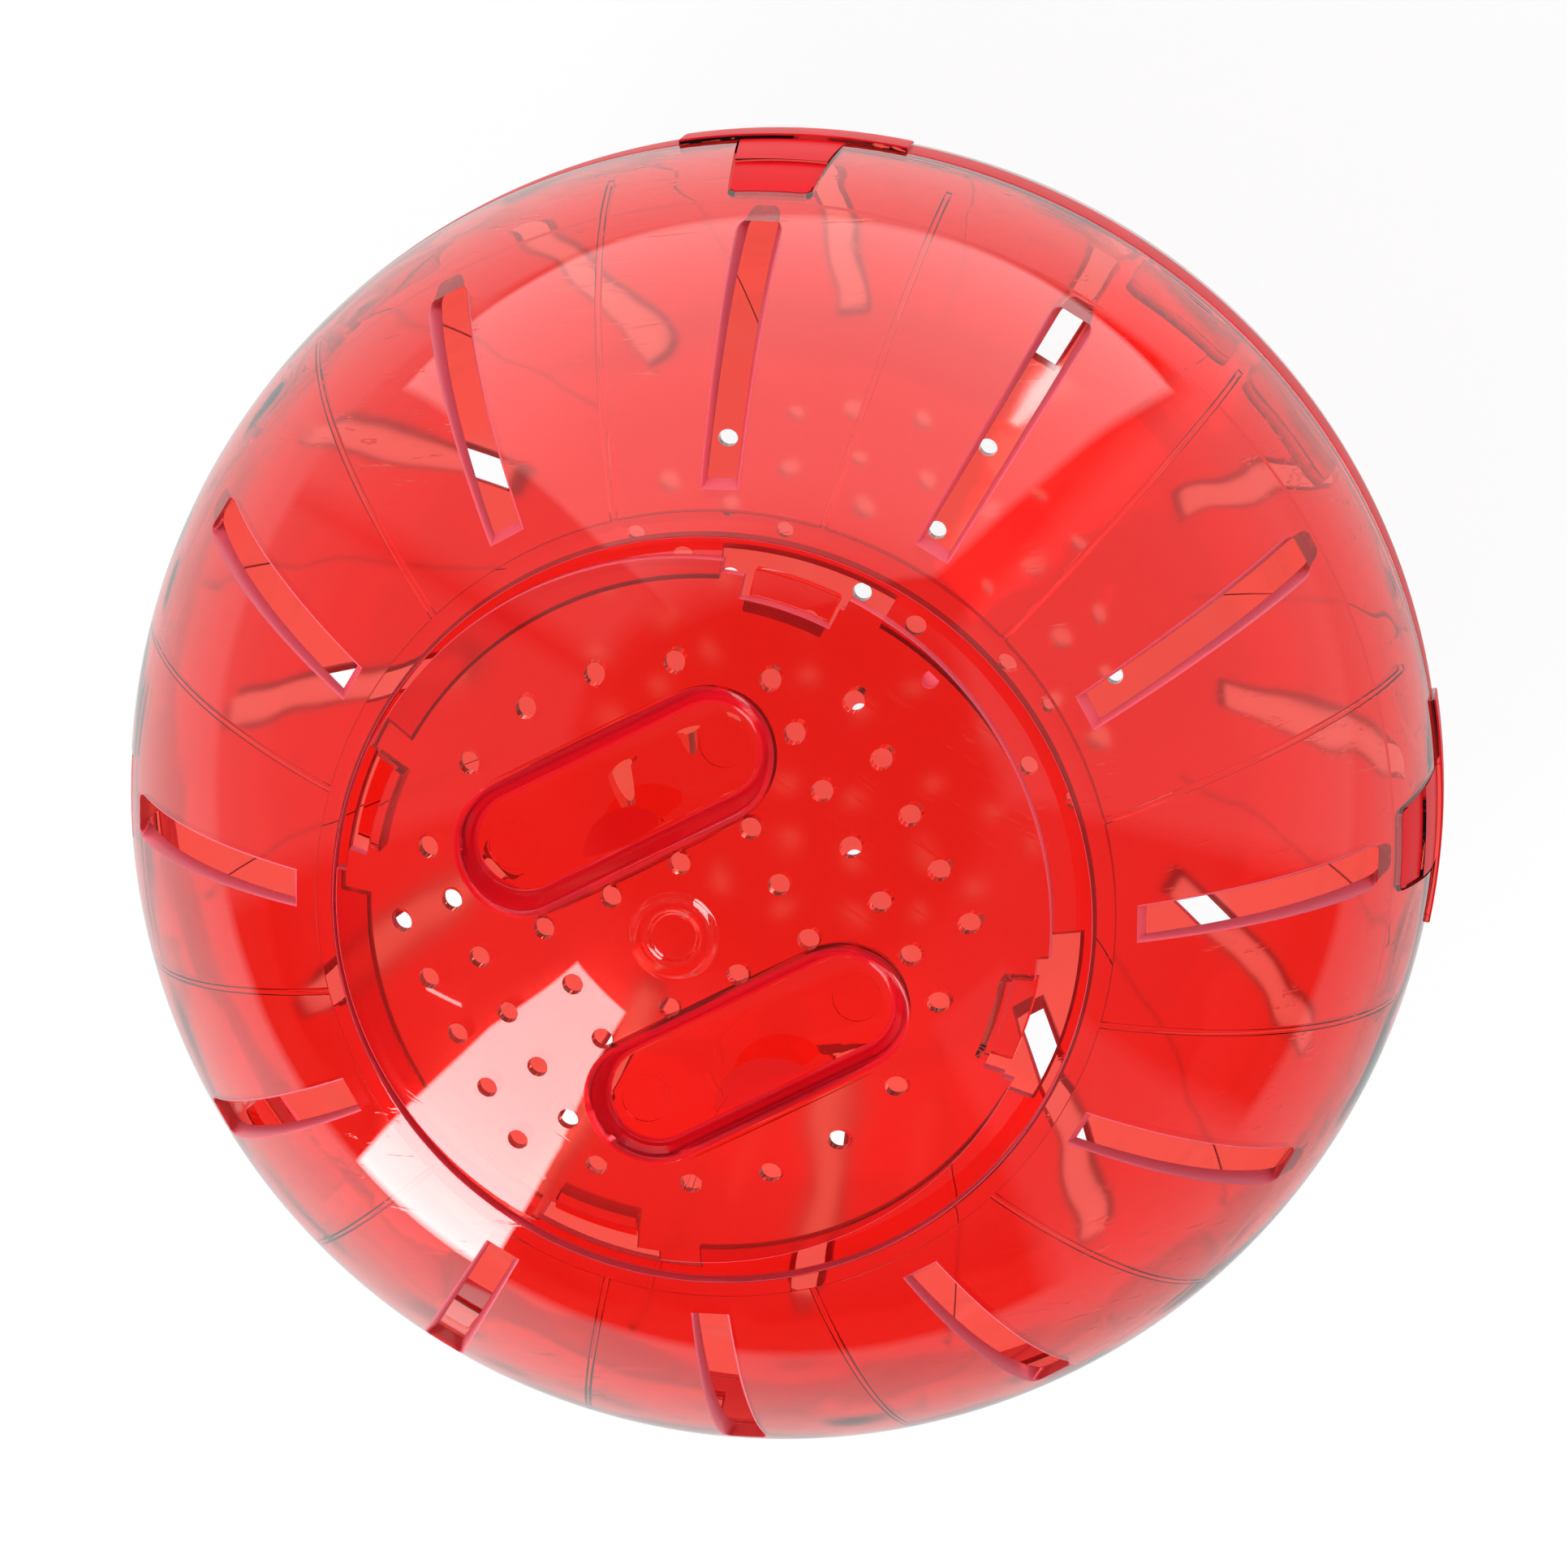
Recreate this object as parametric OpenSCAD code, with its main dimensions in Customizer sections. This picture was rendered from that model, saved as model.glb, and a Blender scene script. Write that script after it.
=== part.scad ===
// Rolling exercise ball for a hamster: two slotted half shells that meet at the equator, held by
// four tongues in rim notches, and a domed door with four hooks under a notched ledge.
// Millimetres. The origin is the ball's centre, the door's axis is +Z, and slots lie along X and Y.

/* [Ball] */
// Outer diameter of the ball
ball_d = 180; // [150:1:220]
// Wall of the half shells and of the door
wall = 2; // [1.6:0.1:2.6]
// Gap between pieces that meet or slide past each other
fit_gap = 0.3; // [0.2:0.05:0.5]

/* [Slots and ribs] */
// Number of slots and of ribs round each half
slot_count = 12; // [8:4:12]
// Width of a slot at the inner face
slot_w = 3.7; // [3:0.1:5]
// Width of a slot at the outer face, at its end near the pole
slot_near_w = 4.6; // [4:0.1:5]
// Width of a slot at the outer face, at its end near the seam
slot_far_w = 6; // [5.2:0.1:7]
// Radius of the two corners at a slot's end near the seam
slot_corner_r = 1.2; // [0.6:0.1:1.6]
// Distance from the door's recess to the near end of a slot
slot_land = 5.5; // [4.5:0.5:8]
// Angle from the pole to the far end of a slot
slot_to = 69; // [62:0.5:69.5]
// Width of a rib
rib_w = 0.9; // [0.6:0.1:1.5]
// Height of a rib over the inner face
rib_h = 0.6; // [0.4:0.1:1]
// Height over the seam at which a rib ends
rib_end = 13; // [13:1:17]

/* [Seam] */
// Height of the thinned band over the seam
band_h = 25.5; // [25.5:0.5:29]
// Depth by which the band is thinned
band_relief = 0.4; // [0.3:0.1:0.6]
// Number of tongues, and of the notches that take them
catch_count = 4; // [2:2:4]
// Angle round the axis of the first tongue
catch_turn = 60; // [0:30:60]
// Width of a tongue at the seam
tongue_w = 14.4; // [12:0.1:16]
// Width of a tongue at its top
tongue_top_w = 10.6; // [8:0.1:11.5]
// Height of a tongue over the seam
tongue_h = 24; // [23:0.5:24.5]
// Height over the seam at which the thumb rest in a tongue starts
rest_from = 12; // [10:0.5:15]
// Height over the seam at which the thumb rest ends
rest_to = 21.5; // [18:0.5:22]
// Depth of the thumb rest
rest_depth = 0.5; // [0.3:0.1:0.8]
// Angle round the axis that a raised ear covers
ear_span = 20; // [14:1:26]
// Height of an ear below the seam
ear_h = 8; // [5:1:12]
// Height of an ear over the outer face
ear_lift = 0.7; // [0.4:0.1:1]
// Angle round the axis that a guide tab covers
tab_span = 11; // [8:0.5:11]
// Angle from a rib to the middle of a guide tab
tab_offset = 6.8; // [6.8:0.1:8]
// Height of a guide tab over the seam
tab_h = 12; // [8:0.5:12.5]
// Thickness of a guide tab
tab_wall = 1.4; // [1.2:0.1:2]
// Depth of a guide tab's root below the seam
tab_root = 5; // [4:1:8]

/* [Opening] */
// Radius of the door's recess
recess_r = 49.8; // [48:0.1:51]
// Width of the ledge under the door's rim
ledge_w = 5.5; // [5:0.1:5.9]
// Thickness of the ledge
ledge_t = 1.7; // [1.4:0.1:2.2]
// Width of the thickened collar round the recess
collar_w = 2.2; // [1.8:0.1:3]
// Width of the ledge that is left outside a hook's notch
notch_rest = 1.6; // [1.2:0.1:1.7]
// Angle round the axis that a hook's notch covers
notch_span = 28; // [27:1:32]

/* [Door] */
// Gap between the door's rim and the recess, all round where the door is centred
door_play = 2.7; // [2.5:0.1:3.2]
// Way that the door has slid on its ledge, as a share of the way that its play allows
door_slip_share = 0.95; // [0:0.05:1]
// Angle round the axis towards which the door has slid
door_slip_turn = 142; // [0:1:359]
// Turn of the door about its axis from the slots along X
door_turn = -2; // [-3:0.5:3]
// Radius of a vent hole
vent_r = 1.4; // [1:0.1:1.6]
// Distance between the vent columns, as a share of the door's radius
vent_column_share = 0.207; // [0.2:0.001:0.212]
// Distance from the door's middle to the last vent column, as a share of its radius
vent_last_share = 0.682; // [0.665:0.001:0.695]
// Distance between vent rows, as a share of the door's radius
vent_row_share = 0.1634; // [0.16:0.0002:0.168]
// Radius of the ring of vents round the two finger pockets, as a share of the door's radius
vent_ring_share = 0.706; // [0.69:0.001:0.715]

/* [Hooks] */
// Number of hooks
hook_count = 4; // [3:1:4]
// Angle round the axis that a hook covers
hook_span = 15; // [10:1:16]
// Thickness of a hook's leg
leg_t = 1.6; // [1.4:0.1:1.8]
// Gap between a hook's leg and the ledge
leg_play = 1.8; // [1.6:0.1:2.2]
// Gap between a hook's lug and the outer end of its notch
lug_play = 2.5; // [2.4:0.1:2.9]
// Thickness of a lug
lug_t = 1.8; // [1.4:0.1:2.2]
// Distance from a hook's leg to the window over its lug
window_step = 0.4; // [0.3:0.1:0.8]
// Angle round the axis of the window over a lug
window_span = 16.6; // [16.2:0.1:18]
// Depth by which the rim is cut back beside a hook
rim_cut = 1.5; // [1.3:0.1:1.8]
// Angle from a hook to the near end of the rim cut
rim_cut_from = -9; // [-10:0.5:-8.5]
// Angle from a hook to the far end of the rim cut
rim_cut_to = 12; // [10:0.5:16]

/* [Finger pockets] */
// Distance from the door's middle to a pocket's middle line, as a share of the door's radius
pocket_y_share = 0.3791; // [0.379:0.0001:0.392]
// Distance from a pocket's middle to the centre of its round end, as a share of the door's radius
pocket_half_share = 0.2832; // [0.22:0.0002:0.3]
// Radius of the floor's round end, as a share of the door's radius
pocket_floor_share = 0.1394; // [0.11:0.0002:0.148]
// Depth of the floor below the top of the ball
pocket_depth = 8.5; // [6:0.5:10]
// Wall of a finger pocket
pocket_wall = 1.6; // [1.2:0.1:2]
// Draft of a pocket's walls
pocket_draft = 11.5; // [8:0.5:12]
// Radius of the round marks on a pocket's floor
mark_r = 3.2; // [2:0.1:4]
// Depth of the round marks
mark_depth = 0.2; // [0.1:0.1:0.4]
// Distance from a pocket's middle to a round mark, as a share of the door's radius
mark_x_share = 0.316; // [0.26:0.001:0.325]
// Outer radius of the dished ring at the door's middle
dish_r = 5.5; // [4.5:0.1:5.8]
// Radius of the button inside the dished ring
button_r = 3; // [2:0.1:3.5]
// Depth of the dished ring
dish_depth = 0.5; // [0.3:0.1:0.8]

/* [Rear vents] */
// Number of rings of vents round the closed end
rear_rings = 4; // [2:1:4]
// Radius of the innermost ring of vents
rear_in_r = 9.1; // [7:0.1:11]
// Radius of the outermost ring of vents
rear_out_r = 38.1; // [37:0.1:41]
// Distance between the other rings, counted inwards from the outermost
rear_ring_gap = 7.9; // [7.3:0.1:8.5]
// Number of vents in the innermost ring, and how many more each further ring has
rear_ring_step = 6; // [4:1:6]

/* [Hidden] */
$fn = 96;
ball_r = ball_d / 2;
inner_r = ball_r - wall;
cut_over = wall;
half_turn = 180;
full_turn = 360;
slot_pitch = full_turn / slot_count;
rib_turn = slot_pitch / 2;
root_r = inner_r + wall / 3;
ledge_top_r = inner_r - fit_gap;
ledge_low_r = ledge_top_r - ledge_t;
lug_top_r = ledge_low_r - fit_gap;
lug_low_r = lug_top_r - lug_t;
recess_z = sqrt(pow(ball_r, 2) - pow(recess_r, 2));
door_r = recess_r - door_play;
door_slip = asin(door_slip_share * (door_play - fit_gap) / recess_z);
collar_r = recess_r + collar_w;
ledge_r = recess_r - ledge_w;
notch_r = recess_r - notch_rest;
leg_out_r = ledge_r - leg_play;
leg_in_r = leg_out_r - leg_t;
lug_r = notch_r - lug_play;
rim_cut_r = door_r - rim_cut;
slot_near_x = recess_r + slot_land;
vent_column = door_r * vent_column_share;
vent_last_x = door_r * vent_last_share;
vent_row = door_r * vent_row_share;
vent_ring_r = door_r * vent_ring_share;
pocket_y = door_r * pocket_y_share;
pocket_half = door_r * pocket_half_share;
pocket_floor_r = door_r * pocket_floor_share;
mark_x = door_r * mark_x_share;
hook_turn = full_turn / hook_count;
catch_pitch = full_turn / catch_count;
red = [0.93, 0.16, 0.13, 0.7];

// Layer between two spheres about the origin
module layer(low_r, high_r) {
  difference() {
    sphere(r = high_r);
    sphere(r = low_r);
  }
}

// Block over the whole ball between two heights
module slab(low_z, high_z) {
  translate([-ball_d, -ball_d, low_z]) cube([2 * ball_d, 2 * ball_d, high_z - low_z]);
}

// Upright sector of a ring between two radii, from one angle to another
module sector(low_r, high_r, from_angle, to_angle) {
  rotate([0, 0, from_angle])
    rotate_extrude(angle = to_angle - from_angle)
      translate([low_r, 0]) square([high_r - low_r, ball_r + cut_over]);
}

// Outline of a slot from above, over +X: wider towards the seam, with two round corners there
module slot_plan() {
  far_x = ball_r * sin(slot_to);
  polygon([
    [slot_near_x, -slot_near_w / 2],
    [far_x - slot_corner_r, -slot_far_w / 2],
    [far_x - slot_corner_r, slot_far_w / 2],
    [slot_near_x, slot_near_w / 2]
  ]);
  for (side = [-1, 1])
    translate([far_x - slot_corner_r, side * (slot_far_w / 2 - slot_corner_r)]) circle(r = slot_corner_r);
  translate([far_x - 2 * slot_corner_r, slot_corner_r - slot_far_w / 2])
    square([2 * slot_corner_r, slot_far_w - 2 * slot_corner_r]);
}

// One slot's cutter: a wedge section carried along the meridian, within the outline from above
module slot_cut() {
  flare = (slot_far_w - slot_w) / (2 * wall);
  low_half = slot_w / 2 - flare * cut_over / 4;
  high_half = slot_far_w / 2 + flare * cut_over;
  intersection() {
    rotate([90, 0, 0])
      rotate_extrude(angle = half_turn / 2)
        polygon([
          [inner_r - cut_over / 4, -low_half],
          [ball_r + cut_over, -high_half],
          [ball_r + cut_over, high_half],
          [inner_r - cut_over / 4, low_half]
        ]);
    linear_extrude(height = ball_d) slot_plan();
  }
}

module slot_cuts() {
  for (i = [0 : slot_count - 1]) rotate([0, 0, i * slot_pitch]) slot_cut();
}

// Thin ribs on the inner face, midway between the slots
module ribs(end_r) {
  intersection() {
    layer(inner_r - rib_h, root_r);
    slab(rib_end, ball_r);
    for (i = [0 : slot_count / 2 - 1])
      rotate([0, 0, i * slot_pitch + rib_turn])
        translate([-ball_r, -rib_w / 2, 0]) cube([ball_d, rib_w, ball_r]);
    difference() {
      cylinder(r = ball_r, h = ball_r);
      cylinder(r = end_r, h = ball_d);
    }
  }
}

// Half of a tongue's width at a height over the seam
function tongue_half(z) = (tongue_w + (tongue_top_w - tongue_w) * z / tongue_h) / 2;

// Tapered blocks at the tongues' places, wider than the tongues by grow on each side
module tongue_blocks(grow, low_z, high_z) {
  low_half = tongue_half(low_z) + grow;
  high_half = tongue_half(high_z) + grow;
  for (i = [0 : catch_count - 1])
    rotate([0, 0, catch_turn + i * catch_pitch])
      translate([ball_r / 2, 0, 0]) rotate([90, 0, 90])
        linear_extrude(height = ball_r)
          polygon([[-low_half, low_z], [low_half, low_z], [high_half, high_z], [-high_half, high_z]]);
}

// Places at each side of the ribs that lie midway between tongues
module tab_sectors() {
  for (i = [0 : catch_count - 1], side = [-1, 1])
    rotate([0, 0, catch_turn + (i + 1 / 2) * catch_pitch + side * tab_offset])
      sector(ball_r / 2, ball_r, -tab_span / 2, tab_span / 2);
}

module guide_tabs() {
  intersection() {
    layer(inner_r - tab_wall, inner_r);
    slab(-tab_root, tab_h);
    union() {
      tab_sectors();
      mirror([0, 0, 1]) tab_sectors();
    }
  }
  intersection() {
    layer(inner_r - tab_wall, root_r);
    slab(-tab_root, -tab_root / 4);
    mirror([0, 0, 1]) tab_sectors();
  }
}

module ears() {
  intersection() {
    layer(root_r, ball_r + ear_lift);
    slab(-ear_h, 0);
    mirror([0, 0, 1])
      for (i = [0 : catch_count - 1])
        rotate([0, 0, -catch_turn - i * catch_pitch])
          sector(ball_r / 2, ball_r + cut_over, -ear_span / 2, ear_span / 2);
  }
}

// Shallow rest for a thumb across the outer face of each tongue
module thumb_rests() {
  intersection() {
    layer(ball_r - rest_depth, ball_r + cut_over);
    tongue_blocks(fit_gap, rest_from, rest_to);
  }
}

// Radius of a ring of vents round the closed end, counted from the innermost
function rear_ring_r(ring) = ring == 1 ? rear_in_r : rear_out_r - (rear_rings - ring) * rear_ring_gap;

module rear_vents() {
  for (ring = [1 : rear_rings], i = [1 : ring * rear_ring_step])
    rotate([0, 0, i * full_turn / (ring * rear_ring_step)])
      translate([rear_ring_r(ring), 0, -ball_r - cut_over])
        cylinder(r = vent_r, h = ball_r / 2);
}

module rear_half() {
  color(red) {
    difference() {
      intersection() {
        layer(inner_r, ball_r);
        union() {
          slab(-ball_d, 0);
          tongue_blocks(0, -ear_h, tongue_h);
        }
      }
      mirror([0, 0, 1]) slot_cuts();
      rear_vents();
      thumb_rests();
    }
    mirror([0, 0, 1]) ribs(collar_r);
    guide_tabs();
    ears();
  }
}

module hook_notches() {
  for (i = [0 : hook_count - 1])
    rotate([0, 0, (i + 1 / 2) * hook_turn])
      sector(ledge_r - cut_over, notch_r, -notch_span / 2, notch_span / 2);
}

module front_half() {
  color(red)
  difference() {
    union() {
      difference() {
        intersection() {
          layer(inner_r, ball_r);
          slab(fit_gap, ball_d);
        }
        intersection() {
          sphere(r = inner_r + band_relief);
          slab(0, band_h);
        }
      }
      intersection() {
        layer(ledge_low_r, root_r);
        cylinder(r = collar_r, h = ball_d);
      }
      ribs(collar_r - rib_w);
    }
    difference() {
      cylinder(r = recess_r, h = ball_d);
      sphere(r = ledge_top_r);
    }
    cylinder(r = ledge_r, h = ball_d);
    hook_notches();
    tongue_blocks(fit_gap, 0, tongue_h + fit_gap);
    slot_cuts();
  }
}

// Long round-ended shape with drafted sides, from one height to another
module pocket_shape(grow, low_z, high_z) {
  low_r = pocket_floor_r + grow + (low_z - (ball_r - pocket_depth)) * tan(pocket_draft);
  high_r = pocket_floor_r + grow + (high_z - (ball_r - pocket_depth)) * tan(pocket_draft);
  for (side = [0, 1])
    rotate([0, 0, side * half_turn]) translate([pocket_half, 0, 0]) rotate([0, 0, -half_turn / 2])
      rotate_extrude(angle = half_turn)
        polygon([[0, low_z], [low_r, low_z], [high_r, high_z], [0, high_z]]);
  translate([-pocket_half, 0, 0]) rotate([90, 0, 90])
    linear_extrude(height = 2 * pocket_half)
      polygon([[-low_r, low_z], [low_r, low_z], [high_r, high_z], [-high_r, high_z]]);
}

module at_pockets() {
  for (side = [-1, 1]) translate([0, side * pocket_y, 0]) children();
}

module vent(x, y) {
  translate([x, y, ball_r / 2]) cylinder(r = vent_r, h = ball_r);
}

// Vents in rows between and beside the pockets, and on an arc round each pocket
module door_vents() {
  for (side = [-1, 1], column = [1 : 4]) {
    x = side * (column == 4 ? vent_last_x : (column - 1 / 2) * vent_column);
    if (column > 1) vent(x, 0);
    for (flip = [-1, 1]) {
      vent(x, flip * vent_row);
      if (column > 2) vent(x, flip * 2 * vent_row);
      if (column < 4) vent(x, flip * sqrt(pow(vent_ring_r, 2) - pow(x, 2)));
    }
  }
}

module hook() {
  intersection() {
    layer(lug_low_r, lug_top_r);
    sector(leg_in_r, lug_r, -hook_span / 2, hook_span / 2);
  }
  intersection() {
    layer(lug_low_r, root_r);
    sector(leg_in_r, leg_out_r, -hook_span / 2, hook_span / 2);
  }
}

module at_hooks() {
  for (i = [0 : hook_count - 1]) rotate([0, 0, (i + 1 / 2) * hook_turn]) children();
}

// Slides the door along its ledge about the ball's centre, so that it stays flush
module slid() {
  rotate([0, 0, door_slip_turn]) rotate([0, door_slip, 0]) rotate([0, 0, -door_slip_turn]) children();
}

module door() {
  color(red) slid() rotate([0, 0, door_turn]) {
    difference() {
      union() {
        intersection() {
          layer(inner_r, ball_r);
          cylinder(r = door_r, h = ball_d);
        }
        intersection() {
          sphere(r = ball_r);
          at_pockets() pocket_shape(pocket_wall, ball_r - pocket_depth - pocket_wall, ball_r);
        }
      }
      at_pockets() pocket_shape(0, ball_r - pocket_depth, ball_r + cut_over);
      at_pockets()
        for (side = [-1, 1])
          translate([side * mark_x, 0, ball_r - pocket_depth - mark_depth])
            cylinder(r = mark_r, h = wall);
      door_vents();
      at_hooks() {
        sector(leg_out_r + window_step, recess_r, -window_span / 2, window_span / 2);
        sector(rim_cut_r, recess_r, rim_cut_from, rim_cut_to);
      }
      difference() {
        translate([0, 0, ball_r - dish_depth]) cylinder(r = dish_r, h = wall);
        cylinder(r = button_r, h = ball_d);
      }
    }
    at_hooks() hook();
  }
}

rear_half();
front_half();
door();
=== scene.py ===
import math

import bmesh
import bpy
from mathutils import Matrix, Vector


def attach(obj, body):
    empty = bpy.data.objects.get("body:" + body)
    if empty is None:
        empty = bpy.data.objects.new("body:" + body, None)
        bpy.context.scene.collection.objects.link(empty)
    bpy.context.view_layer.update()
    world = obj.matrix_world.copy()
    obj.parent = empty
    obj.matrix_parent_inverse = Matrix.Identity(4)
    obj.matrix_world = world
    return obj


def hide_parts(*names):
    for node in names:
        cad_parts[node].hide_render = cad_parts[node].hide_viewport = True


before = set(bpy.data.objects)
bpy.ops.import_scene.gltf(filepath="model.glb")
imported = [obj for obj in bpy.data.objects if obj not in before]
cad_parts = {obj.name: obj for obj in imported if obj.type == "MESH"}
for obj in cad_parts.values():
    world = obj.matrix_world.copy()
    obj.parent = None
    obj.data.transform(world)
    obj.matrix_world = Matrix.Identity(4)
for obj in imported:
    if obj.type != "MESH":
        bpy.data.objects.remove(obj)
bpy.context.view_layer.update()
scene = bpy.context.scene
mm = 0.001
deg = math.pi / 180
print("frame loaded:", sorted(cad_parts))


# camera: the place and turn come from fitting the slots and rings in the photo
view = {
    "place": (0.2764, 0.1693, 1.2173),
    "up": (0.4515, 0.8641, -0.2226),
    "right": (0.8649, -0.4851, -0.1290),
    "lens": 209.7,
}
viewRight = Vector(view["right"]).normalized()
viewUp = Vector(view["up"]).normalized()
viewBack = viewRight.cross(viewUp).normalized()
viewUp = viewBack.cross(viewRight)


def fromView(right, up, back):  # a point given along the picture's right, up and towards the camera, in metres
    return viewRight * right + viewUp * up + viewBack * back


cameraData = bpy.data.cameras.new("camera")
cameraData.lens = view["lens"]
cameraData.sensor_width = 36
camera = bpy.data.objects.new("camera", cameraData)
scene.collection.objects.link(camera)
turn = Matrix((viewRight, viewUp, viewBack)).transposed().to_4x4()
camera.matrix_world = Matrix.Translation(Vector(view["place"])) @ turn
scene.camera = camera


# shared shape tools
def makeObject(name, bm):
    mesh = bpy.data.meshes.new(name)
    bm.to_mesh(mesh)
    bm.free()
    obj = bpy.data.objects.new(name, mesh)
    scene.collection.objects.link(obj)
    return obj


def arcTo(bm, vert, angle, steps):  # swings the last point about Y to an angle from the pole
    now = math.atan2(vert.co.x, vert.co.z)
    out = bmesh.ops.spin(bm, geom=[vert], cent=(0, 0, 0), axis=(0, 1, 0), angle=angle - now, steps=steps)
    return [g for g in out["geom_last"] if isinstance(g, bmesh.types.BMVert)][0]


def lineTo(bm, vert, x, z):
    new = bmesh.ops.extrude_vert_indiv(bm, verts=[vert])["verts"][0]
    new.co = (x, 0, z)
    return new


def drawProfile(path, closed):
    bm = bmesh.new()
    first = last = bm.verts.new((path[0][0], 0, path[0][1]))
    for step in path[1:]:
        last = arcTo(bm, last, step[1], step[2]) if step[0] == "arc" else lineTo(bm, last, step[0], step[1])
    if closed:
        bm.edges.new((last, first))
    return bm


def tidy(bm):
    bmesh.ops.remove_doubles(bm, verts=bm.verts[:], dist=0.0005 * mm)
    bmesh.ops.recalc_face_normals(bm, faces=bm.faces[:])


def turnOnAxis(bm, steps):
    bmesh.ops.spin(
        bm, geom=bm.verts[:] + bm.edges[:], cent=(0, 0, 0), axis=(0, 0, 1),
        angle=2 * math.pi, steps=steps, use_merge=True,
    )
    tidy(bm)


def softenRims(bm, width):  # rounds the turned edges that are sharp
    sharp = [e for e in bm.edges if e.is_manifold and e.calc_face_angle() > 40 * deg]
    bmesh.ops.bevel(
        bm, geom=sharp, offset=width, segments=3, profile=0.5, affect="EDGES", material=-1,
    )
    tidy(bm)


def sweepProfile(bm, fromAngle, toAngle, steps):  # a closed outline swung about Z into a solid sector
    bmesh.ops.contextual_create(bm, geom=bm.edges[:])
    bmesh.ops.rotate(bm, verts=bm.verts[:], cent=(0, 0, 0), matrix=Matrix.Rotation(fromAngle, 3, "Z"))
    bmesh.ops.spin(
        bm, geom=bm.verts[:] + bm.edges[:] + bm.faces[:], cent=(0, 0, 0), axis=(0, 0, 1),
        angle=toAngle - fromAngle, steps=steps,
    )
    tidy(bm)


def layerSector(lowR, highR, lowZ, highZ, fromAngle, toAngle, steps):  # sector of a layer between two spheres
    bm = drawProfile([
        (math.sqrt(lowR ** 2 - highZ ** 2), highZ),
        ("arc", math.acos(lowZ / lowR), 12),
        (math.sqrt(highR ** 2 - lowZ ** 2), lowZ),
        ("arc", math.acos(highZ / highR), 12),
    ], True)
    sweepProfile(bm, fromAngle, toAngle, steps)
    return bm


def ringSector(lowR, highR, lowZ, highZ, fromAngle, toAngle, steps):
    bm = drawProfile([(lowR, lowZ), (highR, lowZ), (highR, highZ), (lowR, highZ)], True)
    sweepProfile(bm, fromAngle, toAngle, steps)
    return bm


def prism(points, along, cornerR):  # a flat outline pushed along a vector, with its long edges rounded
    bm = bmesh.new()
    face = bm.faces.new([bm.verts.new(p) for p in points])
    out = bmesh.ops.extrude_face_region(bm, geom=[face])
    new = [g for g in out["geom"] if isinstance(g, bmesh.types.BMVert)]
    bmesh.ops.translate(bm, verts=new, vec=along)
    way = Vector(along).normalized()
    longEdges = [e for e in bm.edges if abs((e.verts[0].co - e.verts[1].co).normalized().dot(way)) > 0.999]
    if cornerR > 0:
        bmesh.ops.bevel(
            bm, geom=longEdges, offset=cornerR, segments=6, profile=0.5, affect="EDGES", material=-1,
        )
    tidy(bm)
    return bm


def placeRound(bm, angles):  # copies what is drawn to each angle about Z
    source = bm.verts[:] + bm.edges[:] + bm.faces[:]
    for angle in angles:
        copy = bmesh.ops.duplicate(bm, geom=source)["geom"]
        verts = [g for g in copy if isinstance(g, bmesh.types.BMVert)]
        bmesh.ops.rotate(bm, verts=verts, cent=(0, 0, 0), matrix=Matrix.Rotation(angle, 3, "Z"))
    bmesh.ops.delete(bm, geom=[g for g in source if isinstance(g, bmesh.types.BMVert)], context="VERTS")
    return bm


def flipOver(bm):  # turns a shape drawn for the front half over to the rear half
    bmesh.ops.scale(bm, vec=(1, 1, -1), verts=bm.verts[:])
    bmesh.ops.reverse_faces(bm, faces=bm.faces[:])
    return bm


def combine(obj, bm, how):
    other = makeObject("tool", bm)
    cut = obj.modifiers.new("cut", "BOOLEAN")
    cut.operation = how
    cut.solver = "MANIFOLD"
    cut.object = other
    bpy.context.view_layer.update()
    result = bpy.data.meshes.new_from_object(obj.evaluated_get(bpy.context.evaluated_depsgraph_get()))
    obj.modifiers.clear()
    old = obj.data
    obj.data = result
    bpy.data.meshes.remove(old)
    bpy.data.objects.remove(other)
    if not len(result.vertices):
        print("warning: nothing left of", obj.name)


def polish(obj, radii):  # true normals on the spherical faces, smooth ones on what bends gently
    mesh = obj.data
    mesh.name = obj.name
    for poly in mesh.polygons:
        poly.use_smooth = True
    mesh.set_sharp_from_angle(angle=32 * deg)
    normals = [n.vector.copy() for n in mesh.corner_normals]
    onLayer = [any(abs(v.co.length - r) < 0.02 * mm for r in radii) for v in mesh.vertices]
    for poly in mesh.polygons:
        out = poly.center.normalized()
        facing = poly.normal.dot(out)
        if abs(facing) > 0.995 and all(onLayer[i] for i in poly.vertices):
            for loop in poly.loop_indices:
                place = mesh.vertices[mesh.loops[loop].vertex_index].co.normalized()
                normals[loop] = place if facing > 0 else -place
    mesh.normals_split_custom_set(normals)
    print(obj.name, "has", len(mesh.polygons), "faces")


# ball: sizes that the three mouldings share; joined parts reach "root" into the wall, cutters "past" what they cut
ball = {
    "outer": 90 * mm,
    "inner": 88 * mm,
    "gap": 0.3 * mm,
    "turns": 240,
    "edge": 0.22 * mm,
    "root": 0.7 * mm,
    "past": 2 * mm,
}
outer, inner, gap = ball["outer"], ball["inner"], ball["gap"]

slot = {
    "count": 12,
    "near": 37.92 * deg,
    "far": 69 * deg,
    "innerHalf": 1.85 * mm,
    "nearHalf": 2.3 * mm,
    "farHalf": 3.0 * mm,
    "cornerR": 1.2 * mm,
    "ramp": 0.45,
    "lip": 0.28 * mm,
    "swing": math.pi / 4,
    "steps": 44,
    "crowding": 2.2,
}
slotAngles = [i * 30 * deg for i in range(slot["count"])]
quarterAngles = [(45 + i * 90) * deg for i in range(4)]  # ledge notches and door hooks


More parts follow.
